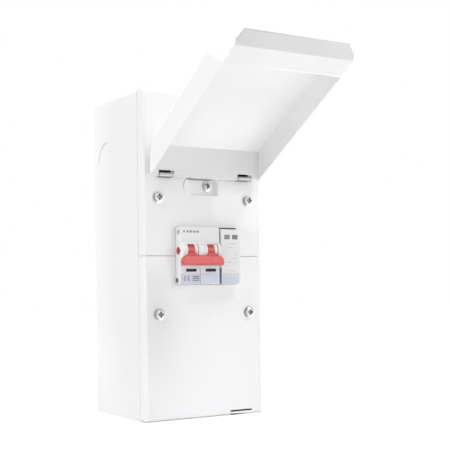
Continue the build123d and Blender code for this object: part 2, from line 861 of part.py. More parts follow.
with BuildPart() as switch_windows:
    window_places = [(pole + switch_window_shift, switch_window_rise) for pole in (left_pole, right_pole)]
    add(windows(window_places, switch_window))
keep(switch_windows, "switch_windows")


def lever(left, right, centre, with_holes):
    """One lever: a drum on two trunnions with an arm that points down at OFF."""
    arm_reach = bar_inner - lever_bar_gap
    drum_right = centre + lever_right_half
    drum_width = lever_left_half + lever_right_half
    with BuildPart() as moulding:
        with BuildSketch(handle_plane(right)):
            Circle(trunnion_radius)
        extrude(amount=right - left)
        with BuildSketch(handle_plane(drum_right)):
            Circle(drum_radius)
        extrude(amount=drum_width)
        with BuildSketch(handle_plane(drum_right)):
            Circle(arm_reach)
            with BuildLine():
                Polyline(*sector(lever_low, lever_high, arm_reach), close=True)
            make_face(mode=Mode.INTERSECT)
        extrude(amount=drum_width)
        if with_holes:
            with BuildSketch(handle_plane(left)):
                with GridLocations(0, hub_hole_spread, 1, 2):
                    Circle(hub_hole / 2)
            extrude(amount=-hub_hole_depth, mode=Mode.SUBTRACT)
    return moulding.part


# Handle: two levers and the bar that ties them
with BuildPart() as lever_left:
    add(lever(switch_left, pole_joint - lever_bar_gap, left_pole, True))
keep(lever_left, "lever_left")

with BuildPart() as lever_right:
    add(lever(pole_joint + lever_bar_gap, switch_right, right_pole, False))
keep(lever_right, "lever_right")

def lever_flare(start, end):
    """A thin skin round the barrel that spreads from one lever's width down to the tie bar."""
    top = handle_rise + flare_top
    foot = top - flare_radius
    dip = flare_radius * sin(radians(45))
    with BuildPart() as flare:
        with BuildSketch(handle_plane(end + flare_radius)):
            Circle(bar_inner + flare_thick)
            Circle(bar_inner, mode=Mode.SUBTRACT)
        extrude(amount=end - start + 2 * flare_radius)
        with BuildSketch(Plane.XZ.offset(handle_front)):
            with BuildLine():
                Polyline((end, top), (start, top))
                ThreePointArc(
                    (start, top), (start - flare_radius + dip, top - dip), (start - flare_radius, foot)
                )
                Polyline((start - flare_radius, foot), (end + flare_radius, foot))
                ThreePointArc((end + flare_radius, foot), (end + flare_radius - dip, top - dip), (end, top))
            make_face()
        extrude(amount=2 * bar_inner, mode=Mode.INTERSECT)
    return flare.part


# Tie bar: a grip that leans out to its lower edge, with a flare up to each lever
bar_left = switch_left + bar_left_inset
bar_right = switch_right + bar_overhang
bar_back = handle_back + bar_nose_gap
bar_face_height = bar_crest[1] - bar_tip[1]
with BuildPart() as tie_bar:
    with BuildSketch(handle_plane(bar_right)) as bar_section:
        with BuildLine():
            Polyline((bar_back, bar_crest[1]), bar_crest, bar_tip, (bar_back, bar_tip[1]), close=True)
        make_face()
        Circle(bar_inner, mode=Mode.SUBTRACT)
        fillet(bar_section.vertices().group_by(Axis.Y)[0], bar_round)
        fillet(bar_section.vertices().group_by(Axis.Y)[-1].sort_by(Axis.X)[-1], bar_edge_round)
    extrude(amount=bar_right - bar_left)
    # The grip's outline from the front
    with BuildSketch(Plane.XZ.offset(handle_front)) as bar_face:
        with Locations(((bar_left + bar_right) / 2, handle_rise + bar_crest[1] - bar_face_height / 2)):
            Rectangle(bar_right - bar_left, bar_face_height)
        fillet(bar_face.vertices().group_by(Axis.Y)[-1], bar_top_corner)
        fillet(bar_face.vertices().group_by(Axis.Y)[0], bar_low_corner)
    extrude(amount=2 * bar_tip[0], mode=Mode.INTERSECT)
    for pole in (left_pole, right_pole):
        add(lever_flare(pole - lever_left_half, pole + lever_right_half))
    with BuildSketch(handle_plane(bar_left)):
        with Locations(pin_hole_place):
            Circle(pin_hole / 2)
    extrude(amount=-pin_hole_depth, mode=Mode.SUBTRACT)
keep(tie_bar, "tie_bar")

# Surge device
with BuildPart() as surge_case:
    surge_nose_top = nose_height / 2 - surge_nose_drop
    add(module_body(surge_left, surge_right, surge_centre, surge_nose_top, narrow_top=True))
    window_x = (surge_centre - surge_window_spread, surge_centre + surge_window_spread)
    surge_window_places = [(x, surge_window_rise) for x in window_x]
    with BuildSketch(Plane.XZ.offset(nose_front)):
        with Locations(*surge_window_places):
            Rectangle(*surge_window)
    extrude(amount=-window_depth, mode=Mode.SUBTRACT)
keep(surge_case, "surge_case")

with BuildPart() as surge_windows:
    add(windows(surge_window_places, surge_window))
keep(surge_windows, "surge_windows")

with BuildPart() as surge_clamps:
    add(module_clamps(surge_centre, narrow_top=True))
keep(surge_clamps, "surge_clamps")

with BuildPart() as surge_terminal_screws:
    add(module_screws(surge_centre, narrow_top=True))
keep(surge_terminal_screws, "surge_terminal_screws")

with BuildPart() as surge_clip:
    add(rail_clip(surge_centre))
keep(surge_clip, "surge_clip")

# Earth bar on its two brackets
earth_back = earth_bar_front - earth_bar_thick
fixing_x = earth_bar_length / 2 - earth_fixing_inset
with BuildPart() as earth_bar:
    with BuildSketch(Plane.XZ.offset(earth_back)):
        with Locations((0, earth_bar_rise)):
            Rectangle(earth_bar_length, earth_bar_height)
    extrude(amount=earth_bar_thick)
    with BuildSketch(Plane.XY.offset(earth_bar_rise)):
        with Locations((0, -(earth_back + earth_bar_thick / 2))):
            with GridLocations(earth_way_pitch, 0, earth_ways, 1):
                Circle(earth_way_bore / 2)
    extrude(amount=earth_bar_height, both=True, mode=Mode.SUBTRACT)
    with BuildSketch(Plane.XZ.offset(earth_bar_front)):
        with Locations((0, earth_bar_rise)):
            with GridLocations(earth_way_pitch, 0, earth_ways, 1):
                Circle(screw_shank / 2 + thread_play)
    extrude(amount=-earth_bar_thick / 2, mode=Mode.SUBTRACT)
    with BuildSketch(Plane.XZ.offset(earth_bar_front)):
        with Locations((-fixing_x, earth_bar_rise), (fixing_x, earth_bar_rise)):
            Circle((screw_shank + screw_play) / 2)
    extrude(amount=-2 * earth_bar_thick, mode=Mode.SUBTRACT)
keep(earth_bar, "earth_bar")

with BuildPart() as earth_bar_screws:
    with BuildSketch(Plane.XZ.offset(earth_bar_front + earth_screw_proud)):
        with Locations((0, earth_bar_rise)):
            with GridLocations(earth_way_pitch, 0, earth_ways, 1):
                Circle(screw_shank / 2)
                Rectangle(screw_shank * 2, screw_shank / 5, mode=Mode.SUBTRACT)
    extrude(amount=-earth_screw_proud)
    with BuildSketch(Plane.XZ.offset(earth_bar_front)):
        with Locations((0, earth_bar_rise)):
            with GridLocations(earth_way_pitch, 0, earth_ways, 1):
                Circle(screw_shank / 2)
    extrude(amount=earth_screw_proud - earth_screw_length)
keep(earth_bar_screws, "earth_bar_screws")

with BuildPart() as earth_bar_brackets:
    with BuildSketch(Plane.XY.offset(earth_bar_rise)):
        for side in (-1, 1):
            with BuildLine():
                Polyline(*bracket_path(side * (fixing_x - bracket_head / 2), side, earth_back))
            trace(line_width=bracket_sheet)
    extrude(amount=earth_bar_height / 2, both=True)
    with BuildSketch(Plane.XZ.offset(earth_back)):
        with Locations((-fixing_x, earth_bar_rise), (fixing_x, earth_bar_rise)):
            Circle(screw_shank / 2 + thread_play)
    extrude(amount=-2 * bracket_sheet, mode=Mode.SUBTRACT)
keep(earth_bar_brackets, "earth_bar_brackets")

earth_fixing = slotted_screw(screw_shank, screw_head, screw_head_height, earth_bar_thick + 2 * bracket_sheet)
with BuildPart() as earth_bar_fixings:
    for side in (-1, 1):
        add(earth_fixing.moved(facing(side * fixing_x, earth_bar_front, earth_bar_rise)))
keep(earth_bar_fixings, "earth_bar_fixings")
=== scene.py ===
"""A white steel consumer unit with its lid up, on a white floor in soft studio light."""

import json
from math import cos, radians, sin

import bpy
from mathutils import Matrix, Vector


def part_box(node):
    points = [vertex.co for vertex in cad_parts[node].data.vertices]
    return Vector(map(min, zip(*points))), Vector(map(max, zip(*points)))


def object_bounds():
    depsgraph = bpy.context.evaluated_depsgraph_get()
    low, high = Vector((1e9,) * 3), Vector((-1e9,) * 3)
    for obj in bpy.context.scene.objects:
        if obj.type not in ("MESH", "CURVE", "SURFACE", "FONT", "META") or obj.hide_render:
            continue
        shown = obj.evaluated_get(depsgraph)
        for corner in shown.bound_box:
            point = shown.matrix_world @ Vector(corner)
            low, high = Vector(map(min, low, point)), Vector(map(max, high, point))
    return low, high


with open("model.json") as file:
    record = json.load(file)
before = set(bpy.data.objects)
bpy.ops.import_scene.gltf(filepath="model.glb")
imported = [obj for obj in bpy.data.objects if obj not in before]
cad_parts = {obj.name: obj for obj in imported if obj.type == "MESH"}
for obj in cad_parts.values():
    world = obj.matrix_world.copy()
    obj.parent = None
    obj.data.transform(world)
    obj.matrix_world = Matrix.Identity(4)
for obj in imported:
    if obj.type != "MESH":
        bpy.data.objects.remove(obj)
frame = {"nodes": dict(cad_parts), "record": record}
cad_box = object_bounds()
nodes = frame["nodes"]


# The back box is one folded steel sheet with half-sheared knockouts, powder coated white after folding.
# The satin coat has a fine orange peel. Soft light leaves it paler towards the wall and the foot, which
# is painted light. Painted shade darkens the lower tongue's edge and foot, and an arc of each knockout.
class Wire:
    """A node's output that can be used in sums, as in 1 - wire * 2."""

    def __init__(self, socket):
        self.socket = socket

    def math(self, operation, first, second=0.0):
        tree = self.socket.id_data
        step = tree.nodes.new("ShaderNodeMath")
        step.operation = operation
        for slot, value in zip(step.inputs, (first, second)):
            if isinstance(value, Wire):
                tree.links.new(value.socket, slot)
            else:
                slot.default_value = value
        return Wire(step.outputs[0])

    def __add__(self, other):
        return self.math("ADD", self, other)

    def __radd__(self, other):
        return self.math("ADD", other, self)

    def __sub__(self, other):
        return self.math("SUBTRACT", self, other)

    def __rsub__(self, other):
        return self.math("SUBTRACT", other, self)

    def __mul__(self, other):
        return self.math("MULTIPLY", self, other)

    def __rmul__(self, other):
        return self.math("MULTIPLY", other, self)

    def __gt__(self, other):
        return self.math("GREATER_THAN", self, other)

    def __lt__(self, other):
        return self.math("LESS_THAN", self, other)

    def __or__(self, other):
        return self.math("MAXIMUM", self, other)

    def __abs__(self):
        return self.math("ABSOLUTE", self)

    def within(self, low, high):
        return (self > low) * (self < high)


class Finish:
    """A material and its nodes."""

    def __init__(self, name, **sockets):
        self.material = bpy.data.materials.new(name)
        self.material.use_nodes = True
        self.tree = self.material.node_tree
        self.shader = self.tree.nodes["Principled BSDF"]
        self.set(self.shader, sockets)

    def set(self, step, sockets):
        for key, value in sockets.items():
            slot = step.inputs[key if isinstance(key, int) else key.replace("_", " ")]
            if isinstance(value, Wire):
                self.tree.links.new(value.socket, slot)
            else:
                slot.default_value = value

    def node(self, kind, settings=None, sockets=None, output=0):
        step = self.tree.nodes.new(kind)
        for key, value in (settings or {}).items():
            setattr(step, key, value)
        self.set(step, sockets or {})
        return Wire(step.outputs[output])

    def place(self):
        return self.node("ShaderNodeTexCoord", output="Object")

    def axes(self, letters):
        """The place on the piece along each axis named: X to the right, Y to the wall, Z up."""
        place = {"Vector": self.place()}
        return [self.node("ShaderNodeSeparateXYZ", sockets=place, output=letter) for letter in letters]

    def noise(self, scale, detail=2.0):
        sockets = {"Vector": self.place(), "Scale": scale, "Detail": detail}
        return self.node("ShaderNodeTexNoise", sockets=sockets)

    def mix(self, share, first, second):
        return self.node("ShaderNodeMix", {"data_type": "RGBA"}, {0: share, 6: first, 7: second}, output=2)

    def fade(self, value, start, end):
        """A share that goes smoothly from 0, where the value is start, to 1, where it is end."""
        limits = {"Value": value, "From Min": start, "From Max": end}
        return self.node("ShaderNodeMapRange", {"interpolation_type": "SMOOTHSTEP"}, limits)

    def paint(self, share, colour):
        """Lays a colour over the base colour, as thick as the share says."""
        under = Wire(self.shader.inputs["Base Color"].links[0].from_socket)
        self.set(self.shader, {"Base Color": self.mix(share, under, colour)})

    def bump(self, height, strength, distance):
        sockets = {"Height": height, "Strength": strength, "Distance": distance}
        return self.node("ShaderNodeBump", sockets=sockets)

    def on(self, *names):
        for name in names:
            for slot in nodes[name].material_slots:
                slot.material = self.material


def shade(colour, factor=1.0):
    """A colour for a socket, with its alpha."""
    return (*(channel * factor for channel in colour), 1.0)


coat_rough = 0.42
coat_tone_scale = 14.0
coat_tone_low = 0.985
peel_scale = 750.0
peel_detail = 3.0
peel_rough = 0.12
peel_strength = 0.1
peel_height = 0.0002


def powder_coat(name, colour):
    coat = Finish(name)
    peel = coat.noise(peel_scale, peel_detail)
    tone = coat.noise(coat_tone_scale)
    coat.set(
        coat.shader,
        {
            "Base Color": coat.mix(tone, shade(colour, coat_tone_low), shade(colour)),
            "Roughness": coat_rough + peel * peel_rough,
            "Normal": coat.bump(peel, peel_strength, peel_height),
        },
    )
    return coat


coat_white = (0.885, 0.885, 0.888)
# The two paler whites below stand for painted light, and the grey for painted shade.
painted_light_white = (0.955, 0.955, 0.957)
painted_bright_white = (0.99, 0.99, 0.99)
painted_shade_grey = (0.50, 0.50, 0.49)
light_reach = 0.040
foot_pale_from = -0.060
foot_pale_share = 0.7
bright_far = 0.060
bright_near = 0.010
bright_from = 0.0
tongue_depth = 0.0015
tongue_edge = 0.0008
foot_shade_low = 0.0002
foot_shade_high = 0.0014
foot_shade_span = (0.044, 0.023)
foot_shade_tone = 0.2
knockout_back = 0.0255
knockout_rise = 0.079
knockout_radius = 0.016
shear_half = 0.0006
shear_inner = (knockout_radius - shear_half) ** 2
shear_outer = (knockout_radius + shear_half) ** 2
shear_from = (-0.002, 0.004)
shear_share = 0.6
low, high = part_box("back_tray")
tray = powder_coat("box_powder_coat", coat_white)
across, out, up = tray.axes("XYZ")
# Painted light makes the box paler towards the wall and the foot.
tray.paint(tray.fade(out, high.y - light_reach, high.y), shade(painted_light_white))
tray.paint(tray.fade(up, foot_pale_from, low.z) * foot_pale_share, shade(painted_light_white))
by_wall = tray.fade(out, high.y - bright_far, high.y - bright_near)
tray.paint(by_wall * tray.fade(up, bright_from, low.z), shade(painted_bright_white))
# Painted shade darkens the lower tongue's edge and its foot, less towards the right.
on_tongue = out < low.y + tongue_depth
tray.paint(on_tongue * (up < low.z + tongue_edge), shade(painted_shade_grey))
tongue_foot = on_tongue * up.within(low.z + foot_shade_low, low.z + foot_shade_high)
tray.paint(tongue_foot * tray.fade(across, *foot_shade_span), shade(painted_shade_grey, foot_shade_tone))
# Painted shade darkens the upper back arc of each knockout's shear line.
aside = out - high.y + knockout_back
above = up - knockout_rise
shear = (aside * aside + above * above).within(shear_inner, shear_outer)
tray.paint(shear * (aside > 0.0) * tray.fade(above, *shear_from) * shear_share, shade(painted_shade_grey))
tray.on("back_tray")


# The rail, its brackets, the lugs and the screws inside are steel with a dull zinc plate.
# They are pressed or turned and screwed to the box. The plate is a little cloudy, which shows
# as patches of differing gloss.
cloud_scale = 420.0
cloud_detail = 3.0
cloud_dark = 0.86
cloud_rough = 0.12
plate_grain_scale = 2600.0
plate_grain_strength = 0.08
plate_grain_height = 0.0001


def zinc_plate(name, colour, rough):
    plate = Finish(name, Metallic=1.0)
    cloud = plate.noise(cloud_scale, cloud_detail)
    grain = plate.noise(plate_grain_scale)
    plate.set(
        plate.shader,
        {
            "Base Color": plate.mix(cloud, shade(colour, cloud_dark), shade(colour)),
            "Roughness": rough + cloud * cloud_rough,
            "Normal": plate.bump(grain, plate_grain_strength, plate_grain_height),
        },
    )
    return plate


dull_zinc = (0.60, 0.61, 0.62)
dull_rough = 0.34
zinc_plate("dull_zinc", dull_zinc, dull_rough).on(
    "bonding_nut",
    "cover_lugs",
    "din_rail",
    "rail_brackets",
    "rail_screws",
    "switch_terminal_screws",
    "surge_terminal_screws",
    "earth_bar_brackets",
    "earth_bar_fixings",
)


# The earth bar, its clamp screws and the terminal cages are drawn brass, left bare.
# Drawing leaves faint lines along the bar, which is screwed to its own brackets.
brass_dark = (0.62, 0.44, 0.17)
brass_bright = (0.78, 0.60, 0.28)
brass_rough = 0.25
line_rough = 0.2
line_strength = 0.1
line_height = 0.0001
line_scale = (40.0, 1500.0, 1500.0)
brass = Finish("drawn_brass", Metallic=1.0)
stretched = brass.node("ShaderNodeMapping", sockets={"Vector": brass.place(), "Scale": line_scale})
drawn = brass.node("ShaderNodeTexNoise", sockets={"Vector": stretched, "Scale": 1.0})
brass.set(
    brass.shader,
    {
        "Base Color": brass.mix(drawn, shade(brass_dark), shade(brass_bright)),
        "Roughness": brass_rough + drawn * line_rough,
        "Normal": brass.bump(drawn, line_strength, line_height),
    },
)
brass.on("earth_bar", "earth_bar_screws", "switch_clamps", "surge_clamps")


# The two poles of the main switch have moulded cases of pale grey plastic with a fine satin texture.
# Across the foot of their noses runs a pale blue label with a paler band round the windows.
# The left pole also has a row of small bars at its head, and a contact symbol and bars on its label.
case_rough = 0.42
case_tone_scale = 60.0
case_tone_low = 0.985
case_grain_scale = 1900.0
case_grain_rough = 0.1
case_grain_strength = 0.1
case_grain_height = 0.0001


def case_plastic(name, colour):
    case = Finish(name)
    grain = case.noise(case_grain_scale)
    tone = case.noise(case_tone_scale)
    case.set(
        case.shader,
        {
            "Base Color": case.mix(tone, shade(colour, case_tone_low), shade(colour)),
            "Roughness": case_rough + grain * case_grain_rough,
            "Normal": case.bump(grain, case_grain_strength, case_grain_height),
        },
    )
    return case


nose_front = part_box("surge_case")[0].y
face_depth = 0.0002
case_grey = (0.83, 0.83, 0.83)
gap_side_light = (0.95, 0.95, 0.95)
left_side_shade = (0.775, 0.775, 0.775)
core_red_reflection = (0.90, 0.83, 0.81)
core_proud = 0.0008
core_start = 0.0028
core_end = 0.0053
label_foot = -0.0220
label_top = -0.0098
band_foot = -0.0139
band_white = (0.77, 0.77, 0.83)
rule_width = 0.00025
rule_blue = (0.55, 0.60, 0.72)
heading_grey = (0.24, 0.24, 0.24)
heading_rise = 0.0189
heading_half = 0.0008
heading_share = 0.85
heading_words = [
    (-0.0232, -0.0216),
    (-0.0203, -0.0183),
    (-0.0177, -0.0150),
    (-0.0144, -0.0121),
    (-0.0115, -0.0090),
]
ink = (0.17, 0.18, 0.24)
symbol_lines = (-0.0219, -0.0186)
symbol_half = 0.0005
symbol_foot = (-0.0199, -0.0186)
symbol_head = (-0.0169, -0.0155)
blade_lean = 0.7
rating_rows = (-0.0162, -0.0177, -0.0192)
rating_half = 0.0004
rating_span = (-0.0153, -0.0094)
pole_labels = {
    "switch_case_left": ((0.62, 0.64, 0.74), 0.0002, 0.0),
    "switch_case_right": ((0.65, 0.71, 0.81), 0.0, 0.0012),
}
for name, (label_blue, left_margin, right_margin) in pole_labels.items():
    pole = case_plastic(name, case_grey)
    low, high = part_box(name)
    middle = (low.x + high.x) / 2
    across, out, up = pole.axes("XYZ")
    on_nose = out < nose_front + face_depth
    printed = on_nose * across.within(low.x + left_margin, high.x - right_margin)
    core = (out < nose_front - core_proud) * across.within(middle + core_start, middle + core_end)
    pole.paint(printed * up.within(label_foot, label_top), shade(label_blue))
    pole.paint(printed * up.within(band_foot, label_top), shade(band_white))
    pole.paint(printed * up.within(band_foot - rule_width, band_foot), shade(rule_blue))
    # The core beside each lever is the case's plastic, painted warm with a painted reflection of the red
    # lever.
    pole.paint(core, shade(core_red_reflection))
    # Painted light makes each pole's right side, which faces into a gap, paler.
    pole.paint(across > high.x - face_depth, shade(gap_side_light))
    # Painted shade makes each pole's left side greyer.
    pole.paint(across < low.x + face_depth, shade(left_side_shade))
    words = 0.0
    for start, end in heading_words:
        words = across.within(start, end) + words
    heading = words * (abs(up - heading_rise) < heading_half)
    pole.paint(on_nose * heading * heading_share, shade(heading_grey))
    symbol = 0.0
    for line in symbol_lines:
        stem = (abs(across - line) < symbol_half) * (up.within(*symbol_foot) | up.within(*symbol_head))
        blade = abs(across - line + (up - symbol_foot[1]) * blade_lean) < symbol_half
        symbol = stem + blade * up.within(symbol_foot[1], symbol_head[0]) + symbol
    rating = 0.0
    for rise in rating_rows:
        rating = (abs(up - rise) < rating_half) + rating
    pole.paint(on_nose * (symbol | rating * across.within(*rating_span)), shade(ink))
    pole.on(name)


# The surge device has a moulded case of the same plastic in a cooler grey, clipped to the same rail.
# Its face is paler towards the top, with rows of small grey bars and a label at its foot
# that fades from grey to blue.
surge_grey = (0.785, 0.79, 0.79)
surge_pale = (0.838, 0.843, 0.838)
surge_pale_span = (0.004, 0.018)
surge_label_top = -0.0136
surge_label_left = 0.0006
surge_label_right = 0.0018
surge_label_high = (0.66, 0.68, 0.70)
surge_label_low = (0.58, 0.61, 0.73)
side_label_shade_blue = (0.30, 0.41, 0.58)
print_grey = (0.56, 0.57, 0.57)
print_height = 0.0005
print_rows = [
    (0.0098, [(0.0155, 0.0171), (0.0184, 0.0252)]),
    (0.0067, [(0.0173, 0.0223)]),
    (0.0011, [(0.0228, 0.0252)]),
    (-0.0020, [(0.0219, 0.0257)]),
    (-0.0050, [(0.0161, 0.0212), (0.0236, 0.0266)]),
    (-0.0081, [(0.0161, 0.0178)]),
    (-0.0119, [(0.0152, 0.0165), (0.0178, 0.0252)]),
]
surge = case_plastic("surge_case", surge_grey)
low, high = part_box("surge_case")
across, out, up = surge.axes("XYZ")
on_face = out < nose_front + face_depth
print_mask = 0.0
for rise, words in print_rows:
    for start, end in words:
        word = across.within(start, end) * (abs(up - rise) < print_height / 2)
        print_mask = word + print_mask
label_width = across.within(low.x + surge_label_left, high.x - surge_label_right)
label_rise = surge.fade(up, label_foot, surge_label_top)
faded_label = surge.mix(label_rise, shade(surge_label_low), shade(surge_label_high))
side = across < low.x + face_depth
surge.paint(on_face * surge.fade(up, *surge_pale_span), shade(surge_pale))
surge.paint(on_face * print_mask, shade(print_grey))
surge.paint(on_face * label_width * up.within(label_foot, surge_label_top), faded_label)
# Painted light makes the surge device's left side, which faces the gap, paler.
surge.paint(side, shade(gap_side_light))
# Below the label's top the side takes the label's blue, darkened by painted shade in the gap.
surge.paint(side * (up < label_top), shade(side_label_shade_blue))
surge.on("surge_case")


# The windows are small moulded inserts, pressed into the noses: black under the handle,
# mottled grey on the surge device, where the right one is darker.
haze_scale = 900.0
haze_rough = 0.1


def insert(name, colour, rough, mottle, shine=0.5):
    """Plain moulded plastic that is darker in places by the factor mottle."""
    pane = Finish(name, Specular_IOR_Level=shine)
    haze = pane.noise(haze_scale)
    pane.set(
        pane.shader,
        {
            "Base Color": pane.mix(haze, shade(colour, mottle), shade(colour)),
            "Roughness": rough + haze * haze_rough,
        },
    )
    return pane


window_rough = 0.35
window_black = (0.022, 0.034, 0.036)
window_grey = (0.36, 0.36, 0.35)
spent_grey = (0.10, 0.11, 0.10)
spent_share = 0.45
insert("black_window", window_black, window_rough, mottle=0.6, shine=0.15).on("switch_windows")
status = insert("grey_window", window_grey, window_rough, mottle=0.4)
low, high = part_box("surge_windows")
[across] = status.axes("X")
status.paint((across > (low.x + high.x) / 2) * spent_share, shade(spent_grey))
status.on("surge_windows")


# The rail clips are slides of dark nylon with a dry surface.
# Each is moulded in one piece and springs up under the rail from a channel in its device's back.
clip_grey = (0.24, 0.25, 0.26)
clip_rough = 0.5
clips = insert("grey_nylon", clip_grey, clip_rough, mottle=0.8)
clips.on("switch_clip_left", "switch_clip_right", "surge_clip")


# The rivets that hold the poles together are steel, with a dark finish on their heads.
# The upper one is worn pale.
rivet_dark = (0.22, 0.22, 0.22)
rivet_worn = (0.55, 0.55, 0.54)
rivet_rough = 0.4
rivet = zinc_plate("dark_steel", rivet_dark, rivet_rough)
[up] = rivet.axes("Z")
rivet.paint(up > 0.0, shade(rivet_worn))
rivet.on("switch_rivets")


# The handle is two levers and a tie bar, moulded in red plastic and turning on trunnions in the cases.
# Its skin is smooth with a slight waviness. Painted shade darkens it up the levers and inside the pin
# holes.
red_dark = (0.66, 0.085, 0.082)
red_bright = (0.72, 0.115, 0.108)
red_rough = 0.34
ripple_scale = 300.0
ripple_strength = 0.06
ripple_height = 0.0003
slot_shade_red = (0.38, 0.05, 0.055)
slot_shade_foot = 0.0030
slot_shade_head = 0.0095
hole_rim_shade = (0.26, 0.03, 0.03)
rim_depth = 0.0001
hole_shade_black = (0.03, 0.012, 0.012)
hole_depth = 0.0021


def red_moulding(name, hole_face, hole_middle, hole_radius):
    """Red plastic with painted shade in a hole in the left end of a piece."""
    red = Finish(name, Roughness=red_rough)
    ripple = red.noise(ripple_scale)
    red.set(
        red.shader,
        {
            "Base Color": red.mix(ripple, shade(red_dark), shade(red_bright)),
            "Normal": red.bump(ripple, ripple_strength, ripple_height),
        },
    )
    across, out, up = red.axes("XYZ")
    aside = out - hole_middle[0]
    above = up - hole_middle[1]
    round_hole = aside * aside + above * above < hole_radius**2
    # Painted shade darkens the red towards the top, and in and round the hole.
    red.paint(red.fade(up, slot_shade_foot, slot_shade_head), shade(slot_shade_red))
    red.paint((across < hole_face + hole_depth) * round_hole, shade(hole_rim_shade))
    red.paint(across.within(hole_face + rim_depth, hole_face + hole_depth) * round_hole, shade(hole_shade_black))
    return red


joint_places = {joint["name"]: joint.get("pos_m") for joint in frame["record"]["behaviour"]["joints"]}
trunnion_hole = 0.0018
pin_hole = 0.0008
pin_ahead = 0.0062
pin_drop = 0.0092
pivot = joint_places["switch_handle"][1:]
pin = (pivot[0] - pin_ahead, pivot[1] - pin_drop)
lever_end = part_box("lever_left")[0].x
bar_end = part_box("tie_bar")[0].x
red_moulding("red_lever", lever_end, pivot, trunnion_hole).on("lever_left", "lever_right")
red_moulding("red_bar", bar_end, pin, pin_hole).on("tie_bar")


# The lower half cover is folded steel, powder coated in a cooler white and screwed to lugs in the box.
# Tones that soft light leaves on it are painted: greyer on the left, paler down the left bend.
# Painted shade darkens its foot edge, less towards the right.
cover_lilac = (0.902, 0.900, 0.914)
bend_width = 0.0020
dim_tone = 0.885
dim_across = (-0.012, -0.050)
dim_foot = (-0.115, -0.045)
dim_head = (0.005, -0.025)
foot_edge = 0.0010
foot_span = (0.030, 0.050)
foot_loss = 0.6
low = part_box("lower_cover")[0]
lower = powder_coat("cover_powder_coat", cover_lilac)
across, up = lower.axes("XZ")
dim_left = lower.fade(across, *dim_across) * lower.fade(up, *dim_foot) * lower.fade(up, *dim_head)
lower.paint(dim_left * (across > low.x + bend_width), shade(cover_lilac, dim_tone))
lower.paint((across < low.x + bend_width) * lower.fade(up, foot_pale_from, low.z), shade(painted_light_white))
# Painted shade along the foot edge, fading towards the right.
foot_line_shade = (up < low.z + foot_edge) * (1.0 - lower.fade(across, *foot_span) * foot_loss)
lower.paint(foot_line_shade, shade(painted_shade_grey))
lower.on("lower_cover")


# The upper half cover is folded steel with the box's coat and a pocket pressed into it under the hinge.
# Tones that soft light leaves are painted: paler above the hinge, beside the lid and under the pocket.
# Painted shadow lies under the hooks, along the pocket's rounded end and under its top edge.
# Inside the pocket, painted light pales its left, foot and right wall, and painted shade greys it towards
# the right.
top_pale = (0.065, 0.085)
top_share = 0.6
bend_start = 0.5
bend_end = 2.0
beside_white = (0.985, 0.985, 0.985)
beside_span = (-0.044, -0.049)
beside_foot = (0.058, 0.066)
beside_head = (0.094, 0.084)
right_span = (0.002, 0.016)
right_foot = (0.018, 0.030)
right_head = (0.056, 0.047)
hook_half = 0.0062
hook_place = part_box("hinge_hooks")[1].x - hook_half
shadow_low = 0.0605
shadow_high = 0.0613
edge_shade_tone = 0.8
pocket_left = -0.0180
pocket_right = 0.0134
pocket_low = 0.0480
pocket_high = 0.0616
pocket_skin = 0.0003
pocket_slope = 0.0014
pocket_radius = (pocket_high - pocket_low) / 2
pocket_side_shade = (0.80, 0.80, 0.80)
pocket_shade = (0.36, 0.36, 0.36)
pocket_light_span = (-0.002, -0.014)
pocket_side_shade_span = (-0.001, 0.011)
pocket_foot = (0.0505, 0.0496)
pocket_shade_span = (0.013, 0.003)
end_edge = 0.0016
end_overlap = 0.0002
end_rise = (-0.0075, 0.004)
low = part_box("upper_cover")[0]
cover = powder_coat("pocket_powder_coat", coat_white)
across, out, up = cover.axes("XYZ")
off_bend = cover.fade(across, low.x + bend_start * bend_width, low.x + bend_end * bend_width)
cover.paint(off_bend * cover.fade(up, *top_pale) * top_share, shade(painted_light_white))
beside_lid = cover.fade(across, *beside_span) * cover.fade(up, *beside_foot) * cover.fade(up, *beside_head)
cover.paint(off_bend * beside_lid, shade(beside_white))
pale_right = cover.fade(across, *right_span) * cover.fade(up, *right_foot) * cover.fade(up, *right_head)
cover.paint(pale_right, shade(painted_light_white))
# Painted shadow on the cover under each hook.
under_hook_shadow = (abs(abs(across) - hook_place) < hook_half) * up.within(shadow_low, shadow_high)
cover.paint(under_hook_shadow, shade(painted_shade_grey, edge_shade_tone))
sunk = out > low.y + pocket_skin
inside = sunk * across.within(pocket_left, pocket_right) * up.within(pocket_low, pocket_high)
under_top = inside * (up > pocket_high - pocket_slope)
# Painted light and shade inside the pocket, and painted shade under its top edge.
cover.paint(inside * cover.fade(across, *pocket_light_span), shade(painted_light_white))
cover.paint(inside * cover.fade(across, *pocket_side_shade_span), shade(pocket_side_shade))
cover.paint(inside * cover.fade(up, *pocket_foot), shade(painted_bright_white))
cover.paint(inside * (across > pocket_right - pocket_slope), shade(painted_light_white))
cover.paint(under_top * cover.fade(across, *pocket_shade_span), shade(pocket_shade))
# Painted shade along the outside of the pocket's rounded end.
aside = across - pocket_left - pocket_radius
above = up - pocket_low - pocket_radius
reach = aside * aside + above * above
rounded_end = (1.0 - sunk) * (aside < 0.0) * (reach > (pocket_radius - end_overlap) ** 2)
edge_fade = cover.fade(reach, (pocket_radius + end_edge) ** 2, pocket_radius**2)
cover.paint(rounded_end * edge_fade * cover.fade(above, *end_rise), shade(painted_shade_grey, edge_shade_tone))
cover.on("upper_cover")


